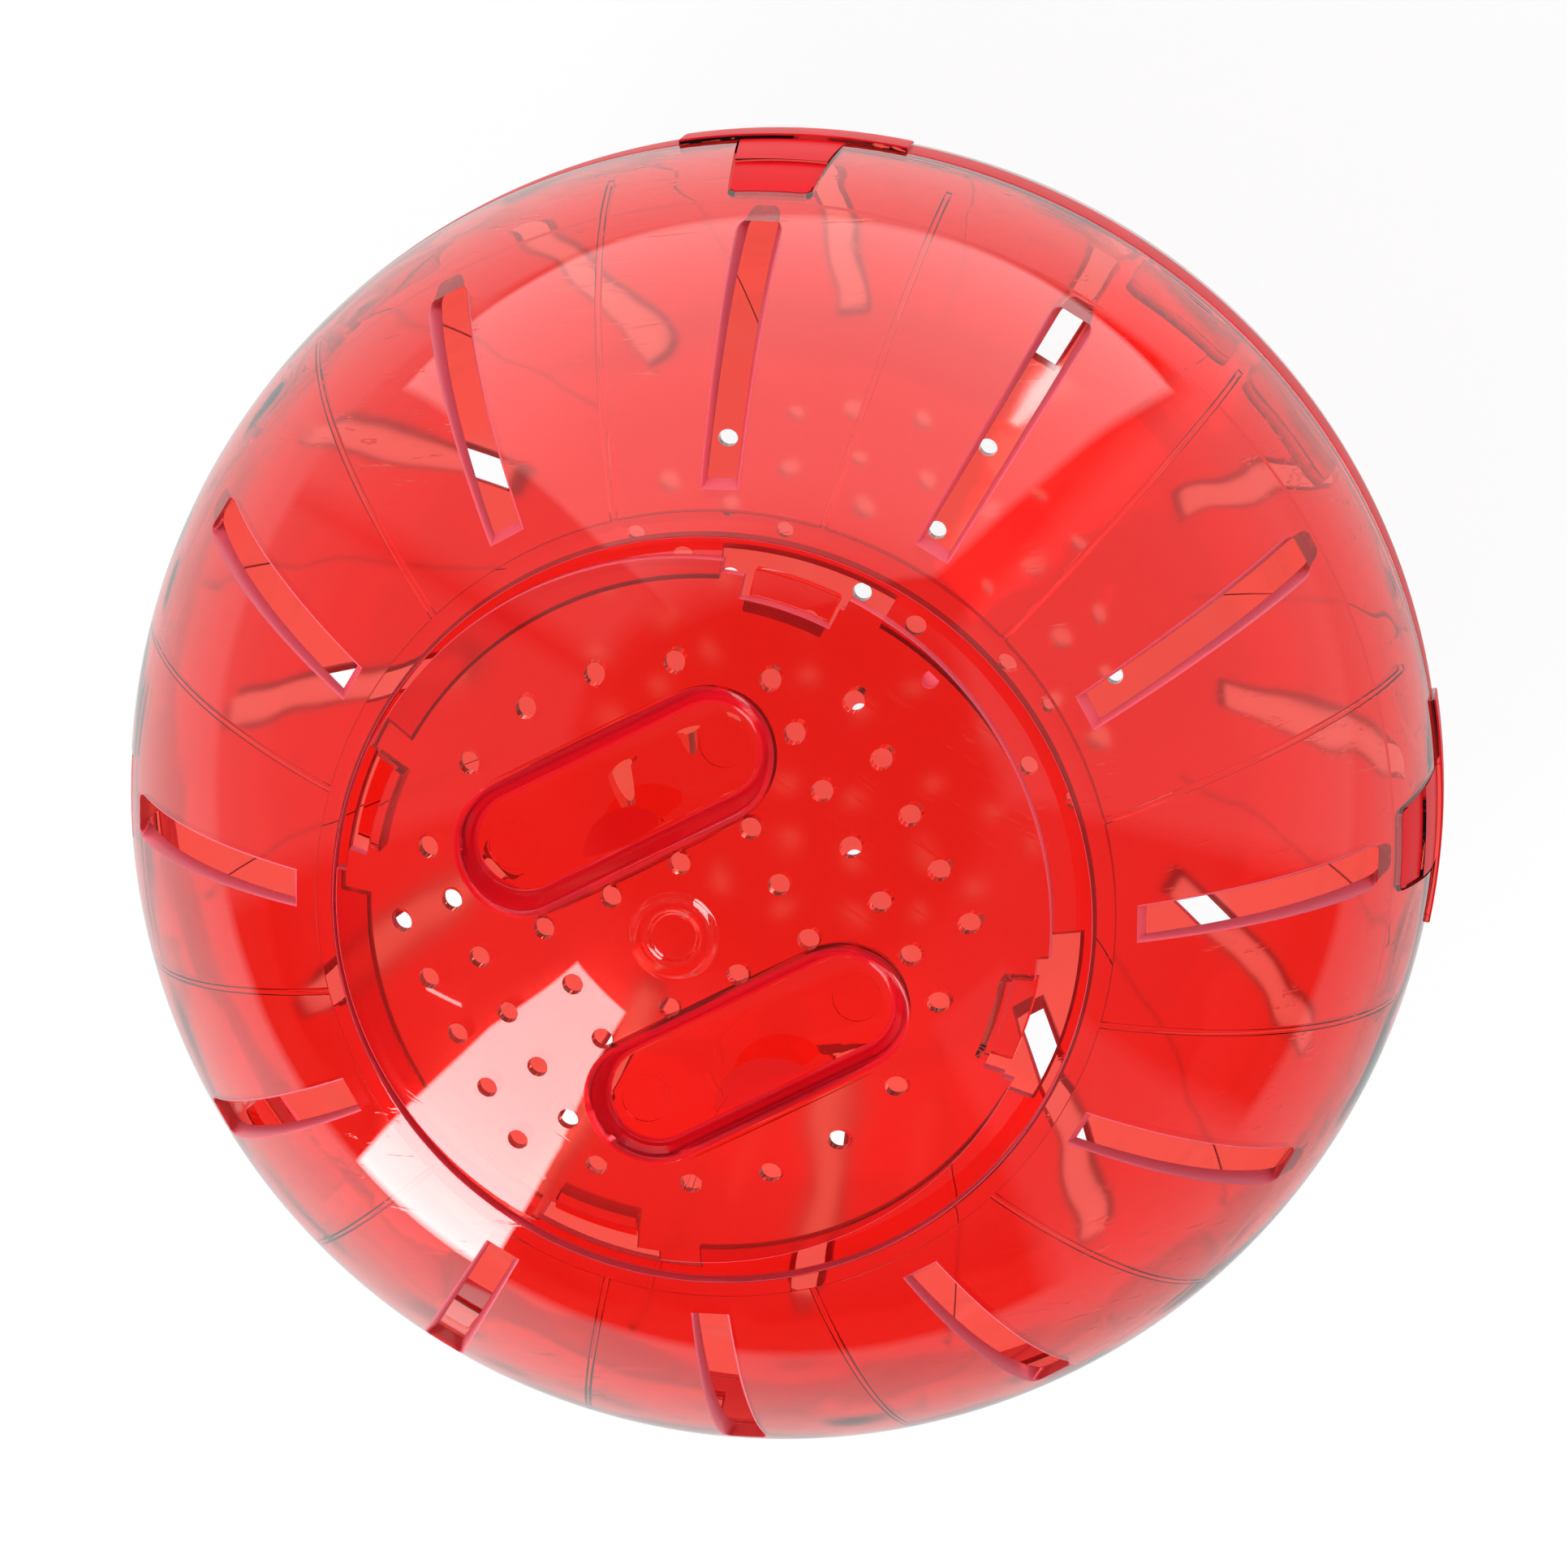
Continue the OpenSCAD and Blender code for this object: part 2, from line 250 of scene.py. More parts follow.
def slotCutter():
    lip = slot["lip"]
    rows = [inner - 0.5 * mm, inner, inner + lip / 2, inner + lip]
    rows += [outer - lip, outer - lip / 2, outer, outer + 0.5 * mm]
    bm = bmesh.new()
    ring = [bm.verts.new((0, mm, r)) for r in rows] + [bm.verts.new((0, -mm, r)) for r in reversed(rows)]
    bm.faces.new(ring)
    bmesh.ops.spin(
        bm, geom=bm.verts[:] + bm.edges[:] + bm.faces[:], cent=(0, 0, 0), axis=(0, 1, 0),
        angle=slot["swing"], steps=slot["steps"],
    )
    nearX, farX = outer * math.sin(slot["near"]), outer * math.sin(slot["far"])
    for v in bm.verts:
        rho = math.hypot(v.co.x, v.co.z)
        swung = math.atan2(v.co.x, v.co.z) / slot["swing"]
        t = 1 - max(1 - swung, 0) ** slot["crowding"]  # stations crowd towards the round corners
        start = math.asin((nearX + slot["ramp"] * (outer - rho)) / rho)
        angle = start + t * (math.asin(farX / rho) - start)
        x = rho * math.sin(angle)
        along = (x - nearX) / (farX - nearX)
        mouth = slot["nearHalf"] + along * (slot["farHalf"] - slot["nearHalf"])
        half = slot["innerHalf"] + (mouth - slot["innerHalf"]) * (rho - inner) / (outer - inner)
        for depth in (rho - (outer - lip), (inner + lip) - rho):
            if depth > 0:
                half += depth ** 2 / lip if depth < lip else 2 * depth - lip
        past = min(max(x - (farX - slot["cornerR"]), 0), slot["cornerR"])
        half += math.sqrt(slot["cornerR"] ** 2 - past ** 2) - slot["cornerR"]
        v.co = (x, math.copysign(half, v.co.y), rho * math.cos(angle))
    tidy(bm)
    return bm


rib = {
    "half": 0.45 * mm,
    "height": 0.6 * mm,
    "root": 0.7 * mm,
    "from": 51.8 * mm,
    "endZ": 13 * mm,
    "steps": 36,
    "crest": 0.22 * mm,
}
ribAngles = [(15 + i * 30) * deg for i in range(slot["count"])]


def ribBar():
    low, high = inner - rib["height"], inner + rib["root"]
    start, end = math.asin(rib["from"] / inner), math.acos(rib["endZ"] / inner)
    bm = bmesh.new()
    bm.faces.new([bm.verts.new((0, y, r)) for y, r in (
        (-rib["half"], low), (rib["half"], low), (rib["half"], high), (-rib["half"], high),
    )])
    bmesh.ops.rotate(bm, verts=bm.verts[:], cent=(0, 0, 0), matrix=Matrix.Rotation(start, 3, "Y"))
    bmesh.ops.spin(
        bm, geom=bm.verts[:] + bm.edges[:] + bm.faces[:], cent=(0, 0, 0), axis=(0, 1, 0),
        angle=end - start, steps=rib["steps"],
    )
    tidy(bm)
    crests = [e for e in bm.edges if e.calc_face_angle(0) > 40 * deg and all(v.co.length < inner for v in e.verts)]
    bmesh.ops.bevel(
        bm, geom=crests, offset=rib["crest"], segments=2, profile=0.5, affect="EDGES", material=-1,
    )
    tidy(bm)
    return bm


tongue = {
    "angles": [(60 + i * 90) * deg for i in range(4)],
    "seamHalf": 7.2 * mm,
    "topHalf": 5.3 * mm,
    "low": -3 * mm,
    "top": 24 * mm,
    "cornerR": 1.1 * mm,
    "restFrom": 12 * mm,
    "restTo": 21.5 * mm,
    "restDepth": 0.5 * mm,
    "restSide": 7 * deg,
    "layerSide": 8 * deg,
    "layerLow": -4 * mm,
    "layerTop": 30 * mm,
}


def tonguePrism(grow, lowZ):
    slope = (tongue["topHalf"] - tongue["seamHalf"]) / tongue["top"]
    lowHalf = tongue["seamHalf"] + slope * lowZ + grow
    highHalf = tongue["topHalf"] + grow
    x, top = outer / 2, tongue["top"] + grow
    return prism(
        [(x, -lowHalf, lowZ), (x, lowHalf, lowZ), (x, highHalf, top), (x, -highHalf, top)],
        (outer, 0, 0), tongue["cornerR"] + grow,
    )


# front half: a turned ring with the recess, ledge and collar of the opening
opening = {
    "recess": 49.8 * mm,
    "ledge": 44.3 * mm,
    "collar": 52.0 * mm,
    "ledgeTop": 87.7 * mm,
    "ledgeLow": 86.0 * mm,
    "notch": 48.2 * mm,
    "notchHalf": 14 * deg,
    "band": 88.4 * mm,
    "bandTop": 25.5 * mm,
}


def heightAt(sphereR, x):
    return math.sqrt(sphereR ** 2 - x ** 2)


def buildFront():
    o = opening
    bm = drawProfile([
        (heightAt(outer, gap), gap),
        ("arc", math.asin(o["recess"] / outer), 40),
        (o["recess"], heightAt(o["ledgeTop"], o["recess"])),
        ("arc", math.asin(o["ledge"] / o["ledgeTop"]), 4),
        (o["ledge"], heightAt(o["ledgeLow"], o["ledge"])),
        ("arc", math.asin(o["collar"] / o["ledgeLow"]), 6),
        (o["collar"], heightAt(inner, o["collar"])),
        ("arc", math.acos(o["bandTop"] / inner), 26),
        (heightAt(o["band"], o["bandTop"]), o["bandTop"]),
        ("arc", math.acos(gap / o["band"]), 12),
    ], True)
    turnOnAxis(bm, ball["turns"])
    softenRims(bm, ball["edge"])
    obj = makeObject("frontShell", bm)
    combine(obj, placeRound(ribBar(), ribAngles), "UNION")
    combine(obj, placeRound(slotCutter(), slotAngles), "DIFFERENCE")
    combine(obj, placeRound(tonguePrism(gap, -ball["past"]), tongue["angles"]), "DIFFERENCE")
    notch = ringSector(
        o["ledge"] - ball["past"], o["notch"], outer / 2, outer, -o["notchHalf"], o["notchHalf"], 14,
    )
    combine(obj, placeRound(notch, quarterAngles), "DIFFERENCE")
    polish(obj, (outer, inner, o["band"], o["ledgeTop"], o["ledgeLow"]))
    return obj


# rear half: a closed dome with tongues, ears and guide tabs on its rim
rim = {
    "earHalf": 10 * deg,
    "earLow": -8 * mm,
    "earLift": 0.7 * mm,
    "earTop": 0.02 * mm,
    "earEdge": 0.25 * mm,
    "tabHalf": 5.5 * deg,
    "tabOffset": 6.8 * deg,
    "tabTop": 12 * mm,
    "tabLow": -5 * mm,
    "tabR": 86.6 * mm,
    "tabCorner": 2.2 * mm,
    "tabSide": 8 * deg,
    "tabReach": 17 * mm,
    "rootIn": 0.2 * mm,
    "rootOut": 0.6 * mm,
    "rootEnd": 1.2 * mm,
    "rootShare": 0.8,
}
rearVents = {
    "radius": 1.4 * mm,
    "rings": [(9.1 * mm, 6), (22.3 * mm, 12), (30.2 * mm, 18), (38.1 * mm, 24)],
}


def ventPins(places, radius, fromZ, toZ):
    bm = bmesh.new()
    for x, y in places:
        made = bmesh.ops.create_cone(
            bm, cap_ends=True, segments=28, radius1=radius, radius2=radius, depth=abs(toZ - fromZ),
        )
        bmesh.ops.translate(bm, verts=made["verts"], vec=(x, y, (fromZ + toZ) / 2))
    return bm


def buildRear():
    bm = drawProfile([
        (0, outer), ("arc", math.pi / 2, 60), (inner, 0), ("arc", 0, 60),
    ], False)
    turnOnAxis(bm, ball["turns"])
    softenRims(bm, ball["edge"])
    obj = makeObject("rearShell", flipOver(bm))
    combine(obj, flipOver(placeRound(ribBar(), ribAngles)), "UNION")

    ears = layerSector(
        inner + ball["root"], outer + rim["earLift"], rim["earTop"], -rim["earLow"],
        -rim["earHalf"], rim["earHalf"], 12,
    )
    softenRims(ears, rim["earEdge"])
    combine(obj, placeRound(flipOver(ears), tongue["angles"]), "UNION")

    tongues = makeObject("tongues", layerSector(
        inner, outer, tongue["layerLow"], tongue["layerTop"], -tongue["layerSide"], tongue["layerSide"], 12,
    ))
    combine(tongues, tonguePrism(0, tongue["low"]), "INTERSECT")
    bm = bmesh.new()
    bm.from_mesh(tongues.data)
    bpy.data.objects.remove(tongues)
    combine(obj, placeRound(bm, tongue["angles"]), "UNION")
    rest = layerSector(
        outer - tongue["restDepth"], outer + mm, tongue["restFrom"], tongue["restTo"],
        -tongue["restSide"], tongue["restSide"], 10,
    )
    combine(obj, placeRound(rest, tongue["angles"]), "DIFFERENCE")

    tabHalf = inner * math.sin(rim["tabHalf"])
    tab = makeObject("tab", layerSector(
        rim["tabR"], inner, rim["tabLow"] - ball["past"], rim["tabReach"], -rim["tabSide"], rim["tabSide"], 14,
    ))
    outline = [(outer / 2, y, z) for y, z in (
        (-tabHalf, rim["tabLow"]), (tabHalf, rim["tabLow"]), (tabHalf, rim["tabTop"]), (-tabHalf, rim["tabTop"]),
    )]
    combine(tab, prism(outline, (outer, 0, 0), rim["tabCorner"]), "INTERSECT")
    rootSide = rim["tabHalf"] * rim["rootShare"]
    root = layerSector(
        rim["tabR"] + rim["rootIn"], inner + rim["rootOut"], rim["rootEnd"], -rim["tabLow"] - rim["rootEnd"],
        -rootSide, rootSide, 8,
    )
    combine(tab, flipOver(root), "UNION")
    bm = bmesh.new()
    bm.from_mesh(tab.data)
    bpy.data.objects.remove(tab)
    places = [a + 45 * deg + side * rim["tabOffset"] for a in tongue["angles"] for side in (-1, 1)]
    combine(obj, placeRound(bm, places), "UNION")

    combine(obj, flipOver(placeRound(slotCutter(), slotAngles)), "DIFFERENCE")
    places = []
    for ringR, count in rearVents["rings"]:
        angles = [i * 2 * math.pi / count for i in range(count)]
        places += [(ringR * math.cos(a), ringR * math.sin(a)) for a in angles]
    combine(obj, ventPins(places, rearVents["radius"], -outer - ball["past"], -outer / 2), "DIFFERENCE")
    polish(obj, (outer, inner, outer + rim["earLift"], rim["tabR"], outer - tongue["restDepth"]))
    return obj


# door: a domed disc with two finger pockets, vents, hooks and a button, whose ring is (radius, depth) in mm
door = {
    "rimR": 47.1 * mm,
    "turn": -1.5 * deg,
    "slip": 1.743 * deg,
    "slipTurn": 142 * deg,
    "ventR": 1.4 * mm,
    "columns": [5.08 * mm, 15.22 * mm, 25.35 * mm, 33.5 * mm],
    "row": 8.1 * mm,
    "ventRing": 34.6 * mm,
    "buttonTop": 2.75 * mm,
    "button": [
        (3.0, 0.14), (3.15, 0.32), (3.3, 0.52), (3.5, 0.68), (3.8, 0.75),
        (4.8, 0.76), (5.2, 0.62), (5.5, 0.42), (5.75, 0.24), (5.95, 0.197),
    ],
    "edge": 0.2 * mm,
    "gateR": 45.1 * mm,
    "gateAngle": 18 * deg,
    "gateSize": 1.1 * mm,
    "gateDepth": 0.35 * mm,
}
pocket = {
    "y": 18.65 * mm,
    "half": 13.95 * mm,
    "floorR": 6.75 * mm,
    "floorZ": 81.5 * mm,
    "draft": math.tan(11.5 * deg),
    "wall": 1.6 * mm,
    "segments": 96,
    "floorFillet": 0.9 * mm,
    "wallFillet": 1.6 * mm,
    "wallTop": 0.8 * mm,
    "lip": 1.5 * mm,
    "lipRise": 0.06 * mm,
    "lipReach": 2.5 * mm,
    "markX": 15.6 * mm,
    "markR": 3.2 * mm,
    "markDepth": 0.35 * mm,
}
hook = {
    "half": 7.4 * deg,
    "legIn": 40.9 * mm,
    "legOut": 42.5 * mm,
    "lug": 45.7 * mm,
    "lugTop": 85.7 * mm,
    "lugLow": 83.9 * mm,
    "windowIn": 42.9 * mm,
    "windowHalf": 8.3 * deg,
    "rimCut": 45.6 * mm,
    "rimCutFrom": -9 * deg,
    "rimCutTo": 12 * deg,
}


def obround(stations, halfLength):  # a round-ended shape built up from (radius, height) stations
    bm = bmesh.new()
    bmesh.ops.create_circle(bm, cap_ends=True, segments=pocket["segments"], radius=stations[0][0])
    halfStep = Matrix.Rotation(180 / pocket["segments"] * deg, 3, "Z")
    bmesh.ops.rotate(bm, verts=bm.verts[:], cent=(0, 0, 0), matrix=halfStep)
    for v in bm.verts:
        v.co.x += math.copysign(halfLength, v.co.x)
        v.co.z = stations[0][1]
    top = bm.faces[:]
    for (lastR, lastZ), (r, z) in zip(stations, stations[1:]):
        rest = [g for face in top for g in (*face.edges, *face.verts)]  # with its edges, the old face goes
        new = bmesh.ops.extrude_face_region(bm, geom=top + rest)["geom"]
        top = [g for g in new if isinstance(g, bmesh.types.BMFace)]
        for v in top[0].verts:
            centreX = math.copysign(halfLength, v.co.x)
            v.co = (centreX + (v.co.x - centreX) * r / lastR, v.co.y * r / lastR, z)
    tidy(bm)
    return bm


def atPockets(bm):
    source = bm.verts[:] + bm.edges[:] + bm.faces[:]
    copy = bmesh.ops.duplicate(bm, geom=source)["geom"]
    for half, y in ((source, pocket["y"]), (copy, -pocket["y"])):
        bmesh.ops.translate(bm, verts=[g for g in half if isinstance(g, bmesh.types.BMVert)], vec=(0, y, 0))
    return bm


def pocketStations(grow, fromZ, toZ, fillet):
    def radius(z):
        return pocket["floorR"] + grow + (z - pocket["floorZ"]) * pocket["draft"]
    rounded = [
        (radius(fromZ + fillet) - fillet * (1 - math.sin(a)), fromZ + fillet * (1 - math.cos(a)))
        for a in (i * math.pi / 10 for i in range(5))
    ]
    wallZ = fromZ + fillet + 0.001 * mm
    return rounded + [(radius(wallZ), wallZ), (radius(toZ), toZ)]


def pocketCutter():  # the pocket's inside, whose lip follows the dome and rounds over into it
    lip, y = pocket["lip"], pocket["y"]
    lipZ = heightAt(outer, y) + pocket["lipRise"]
    stations = pocketStations(0, pocket["floorZ"], lipZ - lip, pocket["floorFillet"])
    wallR = stations[-1][0]
    for i in range(1, 10):
        a = i * 10 * deg
        stations.append((wallR + lip * (1 - math.cos(a)), lipZ - lip + lip * math.sin(a)))
    stations.append((wallR + lip, lipZ + pocket["lipReach"]))
    bm = atPockets(obround(stations, pocket["half"]))
    lowZ = pocket["floorZ"] + pocket["floorFillet"]
    for v in bm.verts:
        follow = min(max((v.co.z - lowZ) / (lipZ - lip - lowZ), 0), 1)
        v.co.z += follow * (heightAt(outer, math.hypot(v.co.x, v.co.y)) - heightAt(outer, y))
    return bm


def doorPlace():  # the door lies slid to one side of its play and a little turned
    toSlip = Matrix.Rotation(door["slipTurn"], 4, "Z")
    slip = Matrix.Rotation(door["slip"], 4, "Y")
    return toSlip @ slip @ toSlip.inverted() @ Matrix.Rotation(door["turn"], 4, "Z")


def doorVentPlaces():
    places = []
    for column, x in enumerate(door["columns"]):
        ys = [door["row"]]
        if column > 1:
            ys.append(2 * door["row"])
        if column < 3:
            ys.append(math.sqrt(door["ventRing"] ** 2 - x ** 2))
        for side in (-1, 1):
            if column > 0:
                places.append((side * x, 0))
            places += [(side * x, flip * y) for y in ys for flip in (-1, 1)]
    return places


def buildDoor():
    bm = drawProfile([
        (0, outer),
        ("arc", math.asin(door["buttonTop"] / outer), 3),
        *((r * mm, outer - depth * mm) for r, depth in door["button"]),
        ("arc", math.asin(door["rimR"] / outer), 26),
        (door["rimR"], heightAt(inner, door["rimR"])),
        ("arc", 0, 30),
    ], False)
    turnOnAxis(bm, ball["turns"])
    softenRims(bm, door["edge"])
    obj = makeObject("doorMoulding", bm)

    outside = pocketStations(
        pocket["wall"], pocket["floorZ"] - pocket["wall"], outer + ball["past"], pocket["wallFillet"],
    )
    walls = makeObject("walls", atPockets(obround(outside, pocket["half"])))
    inside = bmesh.new()
    bmesh.ops.create_uvsphere(inside, u_segments=160, v_segments=120, radius=outer - pocket["wallTop"])
    combine(walls, inside, "INTERSECT")
    bm = bmesh.new()
    bm.from_mesh(walls.data)
    bpy.data.objects.remove(walls)
    combine(obj, bm, "UNION")
    combine(obj, pocketCutter(), "DIFFERENCE")
    marks = [(sx * pocket["markX"], sy * pocket["y"]) for sx in (-1, 1) for sy in (-1, 1)]
    floorZ = pocket["floorZ"]
    combine(obj, ventPins(marks, pocket["markR"], floorZ - pocket["markDepth"], floorZ + mm), "DIFFERENCE")
    combine(obj, ventPins(doorVentPlaces(), door["ventR"], outer / 2, outer + 5 * mm), "DIFFERENCE")
    gateR, gateAngle = door["gateR"], door["gateAngle"]
    gateZ = heightAt(outer, gateR)
    combine(obj, ventPins(
        [(gateR * math.cos(gateAngle), gateR * math.sin(gateAngle))],
        door["gateSize"], gateZ - door["gateDepth"], gateZ + 3 * mm,
    ), "DIFFERENCE")

    h = hook
    cutR = outer / 2 + 3 * mm
    window = ringSector(h["windowIn"], cutR, outer / 2, outer, -h["windowHalf"], h["windowHalf"], 12)
    combine(obj, placeRound(window, quarterAngles), "DIFFERENCE")
    rimCut = ringSector(h["rimCut"], cutR, outer / 2, outer, h["rimCutFrom"], h["rimCutTo"], 16)
    combine(obj, placeRound(rimCut, quarterAngles), "DIFFERENCE")

    bm = drawProfile([
        (h["legIn"], heightAt(inner + ball["root"], h["legIn"])),
        (h["legIn"], heightAt(h["lugLow"], h["legIn"])),
        ("arc", math.asin(h["lug"] / h["lugLow"]), 6),
        (h["lug"], heightAt(h["lugTop"], h["lug"])),
        ("arc", math.asin(h["legOut"] / h["lugTop"]), 6),
        (h["legOut"], heightAt(inner + ball["root"], h["legOut"])),
    ], True)
    sweepProfile(bm, -h["half"], h["half"], 12)
    softenRims(bm, ball["edge"])
    combine(obj, placeRound(bm, quarterAngles), "UNION")
    obj.data.transform(doorPlace())
    polish(obj, (outer, inner, h["lugTop"], h["lugLow"]))
    return obj


frontShell = buildFront()
rearShell = buildRear()
doorMoulding = buildDoor()
print("mouldings built")


# materials
def group(name, inputs, outputs):
    tree = bpy.data.node_groups.new(name, "ShaderNodeTree")
    for label, kind, value in inputs:
        socket = tree.interface.new_socket(name=label, in_out="INPUT", socket_type=kind)
        socket.default_value = value
    for label, kind in outputs:
        tree.interface.new_socket(name=label, in_out="OUTPUT", socket_type=kind)
    return tree, tree.nodes.new("NodeGroupInput"), tree.nodes.new("NodeGroupOutput")


def mathNode(tree, operation, a, b=None, c=None, clamp=False):
    node = tree.nodes.new("ShaderNodeMath")
    node.operation = operation
    node.use_clamp = clamp
    for socket, value in zip(node.inputs, (a, b, c)):
        if value is None:
            continue
        if isinstance(value, (int, float)):
            socket.default_value = value
        else:
            tree.links.new(value, socket)
    return node.outputs[0]


def scratchGroup():  # short fine strokes in one heading, as a mask from 0 to 1
    tree, inputs, outputs = group(
        "fineScratches",
        [("Scale", "NodeSocketFloat", 60.0), ("Heading", "NodeSocketFloat", 0.4), ("Amount", "NodeSocketFloat", 0.5)],
        [("Mask", "NodeSocketFloat")],
    )
    coord = tree.nodes.new("ShaderNodeTexCoord")
    spin = tree.nodes.new("ShaderNodeVectorRotate")
    spin.rotation_type = "Z_AXIS"
    tree.links.new(coord.outputs["Object"], spin.inputs["Vector"])
    tree.links.new(inputs.outputs["Heading"], spin.inputs["Angle"])
    stretch = tree.nodes.new("ShaderNodeVectorMath")
    stretch.operation = "MULTIPLY"
    stretch.inputs[1].default_value = (1.0, 14.0, 4.0)
    tree.links.new(spin.outputs[0], stretch.inputs[0])
    noise = tree.nodes.new("ShaderNodeTexNoise")
    noise.inputs["Detail"].default_value = 3
    noise.inputs["Roughness"].default_value = 0.6
    tree.links.new(stretch.outputs[0], noise.inputs["Vector"])
    tree.links.new(inputs.outputs["Scale"], noise.inputs["Scale"])
    patches = tree.nodes.new("ShaderNodeTexNoise")
    patches.inputs["Scale"].default_value = 16
    patches.inputs["Detail"].default_value = 2
    tree.links.new(coord.outputs["Object"], patches.inputs["Vector"])
    lines = tree.nodes.new("ShaderNodeMapRange")
    lines.inputs["From Min"].default_value = 0.63
    lines.inputs["From Max"].default_value = 0.72
    tree.links.new(noise.outputs["Fac"], lines.inputs["Value"])
    where = tree.nodes.new("ShaderNodeMapRange")
    where.inputs["From Min"].default_value = 0.42
    where.inputs["From Max"].default_value = 0.66
    tree.links.new(patches.outputs["Fac"], where.inputs["Value"])
    both = mathNode(tree, "MULTIPLY", lines.outputs[0], where.outputs[0])
    tree.links.new(mathNode(tree, "MULTIPLY", both, inputs.outputs["Amount"], clamp=True), outputs.inputs["Mask"])
    return tree


def flowGroup():  # the slow waviness that moulding leaves, stronger on the inner faces
    tree, inputs, outputs = group(
        "mouldFlow",
        [
            ("Scale", "NodeSocketFloat", 110.0), ("Outer Depth", "NodeSocketFloat", 0.00004),
            ("Inner Depth", "NodeSocketFloat", 0.0003), ("Inner Radius", "NodeSocketFloat", 0.0885),
            ("Scratches", "NodeSocketFloat", 0.0),
        ],
        [("Normal", "NodeSocketVector")],
    )
    coord = tree.nodes.new("ShaderNodeTexCoord")
    depth = tree.nodes.new("ShaderNodeVectorMath")
    depth.operation = "LENGTH"
    tree.links.new(coord.outputs["Object"], depth.inputs[0])
    noise = tree.nodes.new("ShaderNodeTexNoise")
    noise.noise_dimensions = "4D"
    noise.inputs["Detail"].default_value = 0.0
    tree.links.new(coord.outputs["Object"], noise.inputs["Vector"])
    tree.links.new(inputs.outputs["Scale"], noise.inputs["Scale"])
    inside = mathNode(tree, "LESS_THAN", depth.outputs["Value"], inputs.outputs["Inner Radius"])
    tree.links.new(mathNode(tree, "MULTIPLY", inside, 7.3), noise.inputs["W"])
    deeper = mathNode(tree, "SUBTRACT", inputs.outputs["Inner Depth"], inputs.outputs["Outer Depth"])
    size = mathNode(tree, "MULTIPLY_ADD", inside, deeper, inputs.outputs["Outer Depth"])
    waves = tree.nodes.new("ShaderNodeBump")
    waves.inputs["Strength"].default_value = 1.0
    tree.links.new(noise.outputs["Fac"], waves.inputs["Height"])
    tree.links.new(size, waves.inputs["Distance"])
    marks = tree.nodes.new("ShaderNodeBump")
    marks.invert = True
    marks.inputs["Distance"].default_value = 0.00006
    marks.inputs["Strength"].default_value = 0.6
    tree.links.new(inputs.outputs["Scratches"], marks.inputs["Height"])
    tree.links.new(waves.outputs[0], marks.inputs["Normal"])
    tree.links.new(marks.outputs[0], outputs.inputs["Normal"])
    return tree


def hazeGroup():  # base colour and roughness that shift a little over the moulding
    tree, inputs, outputs = group(
        "tintDrift",
        [
            ("Color", "NodeSocketColor", (1, 0, 0, 1)), ("Deep", "NodeSocketColor", (1, 0, 0, 1)),
            ("Roughness", "NodeSocketFloat", 0.05), ("Inner Haze", "NodeSocketFloat", 0.1),
            ("Inner Radius", "NodeSocketFloat", 0.088), ("Scratches", "NodeSocketFloat", 0.0),
        ],
        [("Color", "NodeSocketColor"), ("Roughness", "NodeSocketFloat")],
    )
    coord = tree.nodes.new("ShaderNodeTexCoord")
    noise = tree.nodes.new("ShaderNodeTexNoise")
    noise.inputs["Scale"].default_value = 22
    noise.inputs["Detail"].default_value = 4
    tree.links.new(coord.outputs["Object"], noise.inputs["Vector"])
    mix = tree.nodes.new("ShaderNodeMix")
    mix.data_type = "RGBA"
    tree.links.new(noise.outputs["Fac"], mix.inputs["Factor"])
    tree.links.new(inputs.outputs["Color"], mix.inputs["A"])
    tree.links.new(inputs.outputs["Deep"], mix.inputs["B"])
    tree.links.new(mix.outputs["Result"], outputs.inputs["Color"])
    depth = tree.nodes.new("ShaderNodeVectorMath")
    depth.operation = "LENGTH"
    tree.links.new(coord.outputs["Object"], depth.inputs[0])
    innerFace = mathNode(tree, "COMPARE", depth.outputs["Value"], inputs.outputs["Inner Radius"], 0.0003)
    haze = mathNode(tree, "MULTIPLY_ADD", innerFace, inputs.outputs["Inner Haze"], inputs.outputs["Roughness"])
    rough = mathNode(tree, "MULTIPLY_ADD", noise.outputs["Fac"], 0.01, haze)
    worn = mathNode(tree, "MULTIPLY_ADD", inputs.outputs["Scratches"], 0.3, rough)
    tree.links.new(worn, outputs.inputs["Roughness"])
    return tree


scratches, flow, drift = scratchGroup(), flowGroup(), hazeGroup()


